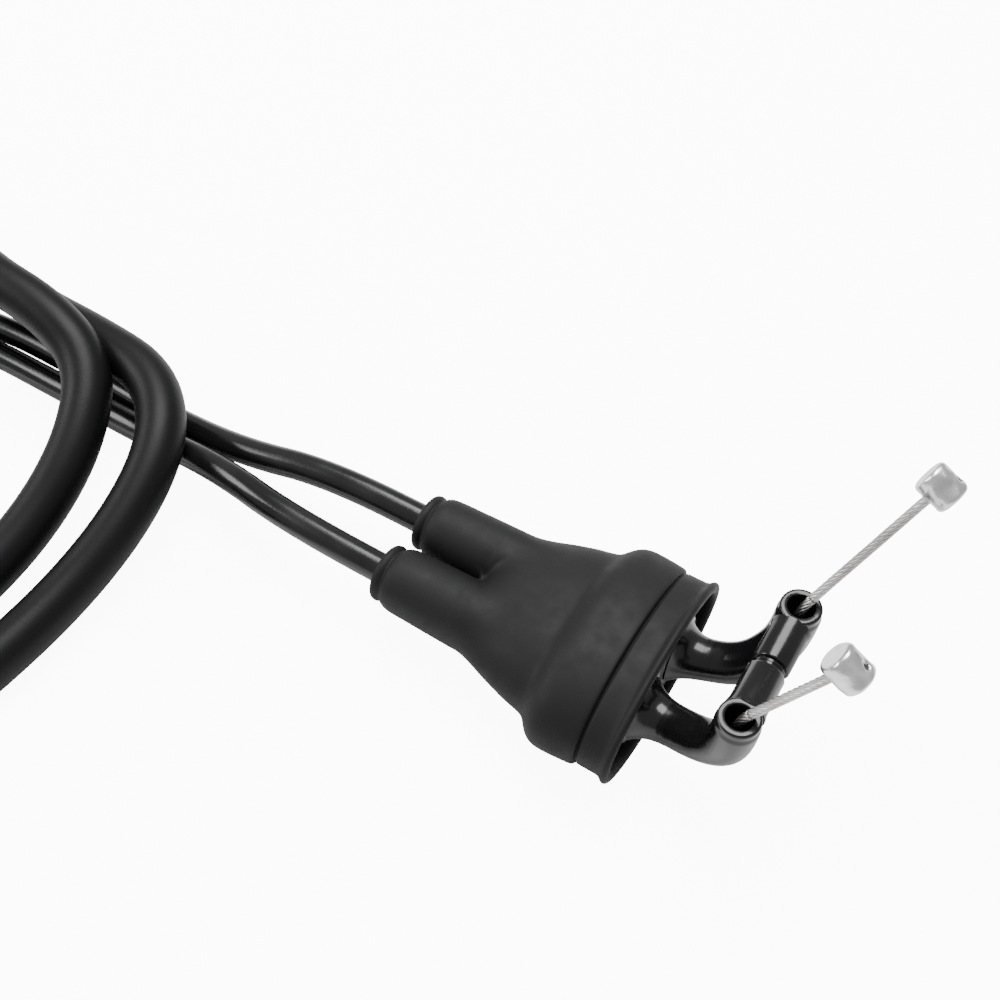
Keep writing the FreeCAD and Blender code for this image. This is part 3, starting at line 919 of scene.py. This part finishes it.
def make_hose(name):
    line = hose_line(name)
    frames = frames_along(line)
    outer = HOSE_DIAMETER / 2
    inner = outer - HOSE_WALL
    rings = []
    start = frames[0]
    end = frames[-1]
    for back, radius in ((0.0, inner + 0.15), (0.0, outer - 0.35), (0.1, outer - 0.1), (0.35, outer)):
        rings.append(circle(start[0] + start[1] * back * MM, start[2], start[3], radius * MM, 40))
    for point, tangent, across, other in frames[1:-1]:
        rings.append(circle(point, across, other, outer * MM, 40))
    for back, radius in ((0.35, outer), (0.1, outer - 0.1), (0.0, outer - 0.35), (0.0, inner + 0.15)):
        rings.append(circle(end[0] - end[1] * back * MM, end[2], end[3], radius * MM, 40))
    for point, tangent, across, other in reversed(frames):
        rings.append(circle(point, across, other, inner * MM, 40))
    bm = bmesh.new()
    bridge(bm, rings, close_line=True)
    return new_piece(name + "_sleeve", bm, "root", "hose_rubber", HOSE_RUBBER, name + "_hose"), line


# Far-end fittings, along -Y from each casing's end

FERRULE_END_WALL = 2.0
ADJUSTER_LENGTH = 34.0
ADJUSTER_RADIUS = 4.0
HEAD_FLATS = 10.0
HEAD_LENGTH = 4.0
NOSE_RADIUS = 2.75
NOSE_LENGTH = 5.0
NUT_FLATS = 12.0
NUT_THICKNESS = 4.0
NUT_STARTS = (9.0, 17.0)
SEAL_LENGTH = 9.0
FAR_WIRE_INSIDE = 26.0
FAR_WIRE_OUTSIDE = 20.0
THREAD_PITCH = 1.0
THREAD_DEPTH = 0.5
BACKWARDS = Vector((0, -1, 0))


def hexagon_rings(base, start, length, flats, bore, chamfer_radius, count=72):
    """Rings of a hexagonal block: bore, face, chamfered corners, sides and back again."""
    across = Vector((1, 0, 0))
    other = Vector((0, 0, 1))

    def ring(along, radius_of):
        points = []
        for k in range(count):
            angle = math.tau * k / count
            radius = radius_of(angle)
            depth = along(radius)
            out = across * math.cos(angle) + other * math.sin(angle)
            points.append(base + BACKWARDS * (depth * MM) + out * (radius * MM))
        return points

    def edge(angle):
        return flats / 2 / math.cos(angle % (math.pi / 3) - math.pi / 6)

    def near(radius):
        return start + max(0.0, radius - chamfer_radius) * 0.6

    def far(radius):
        return start + length - max(0.0, radius - chamfer_radius) * 0.6

    rings = [
        ring(lambda r: start + 0.45, lambda a: bore),
        ring(lambda r: start, lambda a: bore + 0.45),
        ring(lambda r: start, lambda a: chamfer_radius),
        ring(near, edge),
        ring(far, edge),
        ring(lambda r: start + length, lambda a: chamfer_radius),
        ring(lambda r: start + length, lambda a: bore + 0.45),
        ring(lambda r: start + length - 0.45, lambda a: bore),
    ]
    return rings


def add_thread(bm, base, start, end, inner):
    """An outside thread as one grid whose ridge climbs round it, over a plain bore."""
    count = 60
    steps = round((end - start) / THREAD_PITCH * 10)
    rings = []
    across = Vector((1, 0, 0))
    other = Vector((0, 0, 1))
    rings.append(circle(base + BACKWARDS * start * MM, across, other, inner * MM, count))
    for i in range(steps + 1):
        along = start + (end - start) * i / steps
        ends = min(1, (along - start) / 0.9, (end - along) / 0.9)
        ring = []
        for k in range(count):
            turn = (along / THREAD_PITCH + k / count) % 1
            ridge = 1 - abs(2 * turn - 1)
            ridge = min(1, max(0, (ridge - 0.12) / 0.76))
            radius = ADJUSTER_RADIUS - THREAD_DEPTH + THREAD_DEPTH * ridge * max(ends, 0)
            angle = math.tau * k / count
            out = Vector((math.cos(angle), 0, math.sin(angle)))
            ring.append(base + BACKWARDS * along * MM + out * radius * MM)
        rings.append(ring)
    rings.append(circle(base + BACKWARDS * end * MM, Vector((1, 0, 0)), Vector((0, 0, 1)), inner * MM, count))
    bridge(bm, rings, close_line=True)


def make_adjuster(name, base):
    head_start = FERRULE_END_WALL
    thread_start = head_start + HEAD_LENGTH
    nose_start = head_start + ADJUSTER_LENGTH
    bm = bmesh.new()
    bridge(bm, hexagon_rings(base, head_start, HEAD_LENGTH, HEAD_FLATS, 1.2, 4.7), close_line=True)
    add_thread(bm, base, thread_start, nose_start, 1.2)
    nose_end = nose_start + NOSE_LENGTH
    profile = [(nose_start - 0.4, 1.2), (nose_start - 0.4, NOSE_RADIUS), (nose_end - 0.4, NOSE_RADIUS)]
    profile += [(nose_end, NOSE_RADIUS - 0.4), (nose_end, 1.2)]
    lathe(bm, base, BACKWARDS, profile, 48)
    made = new_piece(name + "_adjuster_screw", bm, "root", "plated_steel", PLATED_STEEL, name + "_adjuster")
    return sharpen(made, 30)


def make_nut(piece, base, start, node):
    bm = bmesh.new()
    rings = hexagon_rings(base, start, NUT_THICKNESS, NUT_FLATS, ADJUSTER_RADIUS + 0.05, 5.75)
    bridge(bm, rings, close_line=True)
    return sharpen(new_piece(piece, bm, node + "_body", "plated_steel", PLATED_STEEL, node), 30)


def make_far_ferrule(name, base):
    """A turned cap with two crimped rings."""
    start = FERRULE_END_WALL - 12.0
    bore = CASING_DIAMETER / 2 + 0.05
    profile = [(start + 0.3, bore), (start, bore + 0.25), (start, 3.2), (start + 0.3, 3.5)]
    for middle in (start + 2.6, start + 5.0):
        for offset, radius in ((-0.8, 3.5), (-0.4, 3.32), (0.0, 3.26), (0.4, 3.32), (0.8, 3.5)):
            profile.append((middle + offset, radius))
    profile += [(FERRULE_END_WALL - 0.3, 3.5), (FERRULE_END_WALL, 3.2)]
    profile += [(FERRULE_END_WALL, 1.2), (0.0, 1.2), (0.0, bore)]
    bm = bmesh.new()
    lathe(bm, base, BACKWARDS, profile)
    made = new_piece(name + "_far_cap", bm, "root", "plated_steel", PLATED_STEEL, name + "_far_ferrule")
    return sharpen(made, 50)


def make_seal(name, base):
    """A soft cap with two bellows folds that tapers down to the wire."""
    start = FERRULE_END_WALL + ADJUSTER_LENGTH
    nose_end = start + NOSE_LENGTH
    tip = start + SEAL_LENGTH
    pocket = NOSE_RADIUS + 0.05
    profile = [(start, pocket), (start, 3.7), (start + 0.3, 4.0), (start + 1.1, 4.0), (start + 1.5, 3.75)]
    profile += [(start + 1.9, 3.45), (start + 2.3, 3.75), (start + 2.8, 3.95), (start + 3.3, 3.75)]
    profile += [(start + 3.7, 3.45), (start + 4.1, 3.7), (start + 4.6, 3.8), (start + 5.2, 3.55)]
    profile += [(start + 6.4, 2.85), (start + 7.6, 2.2), (start + 8.3, 1.85), (tip - 0.2, 1.8), (tip, 1.6)]
    profile += [(tip, 1.0), (nose_end + 0.2, 1.0), (nose_end + 0.2, pocket)]
    bm = bmesh.new()
    lathe(bm, base, BACKWARDS, profile)
    made = new_piece(name + "_seal_bellows", bm, "root", "seal_rubber", SEAL_RUBBER, name + "_dust_seal")
    return sharpen(made, 60)


def make_far_end(name, base):
    """The far bare wire and its small barrel, which move together."""
    nipple_at = FERRULE_END_WALL + ADJUSTER_LENGTH + SEAL_LENGTH + FAR_WIRE_OUTSIDE
    start = FERRULE_END_WALL + ADJUSTER_LENGTH - FAR_WIRE_INSIDE
    bm = bmesh.new()
    add_strands(bm, [base + BACKWARDS * start * MM, base + BACKWARDS * (nipple_at - NIPPLE_SEAT) * MM])
    wire = new_piece(
        name + "_far_strands", bm, name + "_far_end", "wire_steel", WIRE_STEEL, name + "_far_wire"
    )
    centre = base / MM + BACKWARDS * nipple_at
    barrel = make_barrel(
        name + "_far_barrel", centre, Vector((1, 0, 0)), BACKWARDS, 4.0, 2.0, 0.45, (0.0, 0.7, 0.4),
        name + "_far_end", "nipple_metal", name + "_far_nipple",
    )
    return [wire, barrel]


def make_fittings(name):
    base = mm(ROUTES[name][-1])
    lock = make_nut(name + "_nut_near", base, NUT_STARTS[0], name + "_lock_nut")
    turned = make_nut(name + "_nut_far", base, NUT_STARTS[1], name + "_adjusting_nut")
    return [
        make_far_ferrule(name, base),
        make_adjuster(name, base),
        lock,
        turned,
        make_seal(name, base),
    ] + make_far_end(name, base)


# Strap round the two casings

TIE_Y = -51.0
TIE_WIDTH = 4.0


def run_point(points, y):
    for before, after in zip(points, points[1:]):
        if before[1] > y > after[1]:
            share = (y - before[1]) / (after[1] - before[1])
            return before[0] + (after[0] - before[0]) * share


def make_tie():
    """A flat strap with a shallow groove along the middle of its outside, through a square head, with a short
    cut-off tail.
    """
    left = run_point(RETURN_ROUTE, TIE_Y)
    right = run_point(PULL_ROUTE, TIE_Y)
    casing_z = CASING_IN_TIE
    reach = CASING_DIAMETER / 2 + 0.12
    middle_x = (left + right) / 2
    bm = bmesh.new()
    outline = []
    for centre, first in ((right, -90), (left, 90)):
        for k in range(17):
            angle = math.radians(first + 180 * k / 16)
            outline.append((centre, math.cos(angle), math.sin(angle)))
    rings = []
    for centre, across, up in outline:
        inner = Vector((centre + across * reach, 0, casing_z + up * reach))
        outer = Vector((centre + across * (reach + 0.8), 0, casing_z + up * (reach + 0.8)))
        rings.append([
            mm(inner + Vector((0, TIE_Y - TIE_WIDTH / 2 + 0.15, 0))),
            mm(outer + Vector((0, TIE_Y - TIE_WIDTH / 2, 0))),
            mm(outer + Vector((0, TIE_Y - 0.9, 0))),
            mm(outer + Vector((0, TIE_Y - 0.8, 0)) - Vector((across, 0, up)) * 0.15),
            mm(outer + Vector((0, TIE_Y + 0.8, 0)) - Vector((across, 0, up)) * 0.15),
            mm(outer + Vector((0, TIE_Y + 0.9, 0))),
            mm(outer + Vector((0, TIE_Y + TIE_WIDTH / 2, 0))),
            mm(inner + Vector((0, TIE_Y + TIE_WIDTH / 2 - 0.15, 0))),
        ])
    bridge(bm, rings, close_line=True)
    top = casing_z + reach + 0.6
    head = bmesh.ops.create_cube(bm, size=1)["verts"]
    for vertex in head:
        vertex.co = mm((
            middle_x + vertex.co.x * 4.5, TIE_Y + vertex.co.y * 4.0, top + (vertex.co.z + 0.5) * 2.6
        ))
    edges = list({edge for vertex in head for edge in vertex.link_edges})
    bmesh.ops.bevel(bm, geom=edges, offset=0.35 * MM, segments=3, affect="EDGES")
    tail = bmesh.ops.create_cube(bm, size=1)["verts"]
    for vertex in tail:
        vertex.co = mm((
            middle_x - 1.6 + vertex.co.x * 2.4, TIE_Y + vertex.co.y * 2.6, top + 1.2 + vertex.co.z * 0.8
        ))
    return sharpen(new_piece("casing_tie", bm, "root", "tie_plastic", TIE_NYLON, "coil_tie"), 35)


# Making the pieces

tie = make_tie()
for name, side in SIDES:
    cable = finish_piece(casing(name), "root", "casing_plastic", CABLE_PLASTIC, name + "_casing")
    hose, line = make_hose(name)
    pieces = make_fittings(name)
    if name == "pull":
        pieces.append(tie)
    make_elbow(name, side)
    make_elbow_wire(name, side)
    make_throttle_wire(name, side)
    make_throttle_barrel(name, side)
    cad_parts[name + "_elbow_ferrule"].data.materials.clear()
    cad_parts[name + "_elbow_ferrule"].data.materials.append(PLATED_STEEL)
make_boot()


# Floor and light


# How bright the floor looks to the camera, and how far below the object it lies
FLOOR_GLOW = 10.0
FLOOR_GAP = 0.03


def make_floor():
    bm = bmesh.new()
    bmesh.ops.create_grid(bm, x_segments=1, y_segments=1, size=3.0)
    mesh = bpy.data.meshes.new("floor")
    bm.to_mesh(mesh)
    bm.free()
    floor = bpy.data.objects.new("floor", mesh)
    floor.location = (0, 0, (SURFACE_Z - FLOOR_GAP) * MM)
    bpy.context.scene.collection.objects.link(floor)
    paper = material("floor_paper", (0.93, 0.93, 0.93), 0.85, specular=0.2)
    glow = add_node(paper, "ShaderNodeLightPath")
    strength = add_node(paper, "ShaderNodeMath", operation="MULTIPLY")
    strength.inputs[1].default_value = FLOOR_GLOW
    link(paper, glow, "Is Camera Ray", strength, 0)
    shader = paper.node_tree.nodes["Principled BSDF"]
    shader.inputs["Emission Color"].default_value = (1, 1, 1, 1)
    link(paper, strength, 0, shader, "Emission Strength")
    mesh.materials.append(paper)


def area_light(name, place, target, size, power):
    data = bpy.data.lights.new(name, "AREA")
    data.shape = "RECTANGLE"
    data.size, data.size_y = size
    data.energy = power
    light = bpy.data.objects.new(name, data)
    light.location = place
    light.rotation_mode = "QUATERNION"
    light.rotation_quaternion = (Vector(target) - Vector(place)).to_track_quat("-Z", "Y")
    bpy.context.scene.collection.objects.link(light)


def make_light():
    world = bpy.data.worlds.new("studio")
    world.use_nodes = True
    background = world.node_tree.nodes["Background"]
    background.inputs["Color"].default_value = (1, 1, 1, 1)
    background.inputs["Strength"].default_value = 0.6
    bpy.context.scene.world = world
    area_light("overhead", (-0.15, 0.25, 0.75), (-0.05, -0.02, 0), (0.5, 0.5), 11.0)
    area_light("left", (-0.75, -0.25, 0.45), (-0.05, -0.02, 0), (0.4, 0.3), 4.0)


make_floor()
make_light()
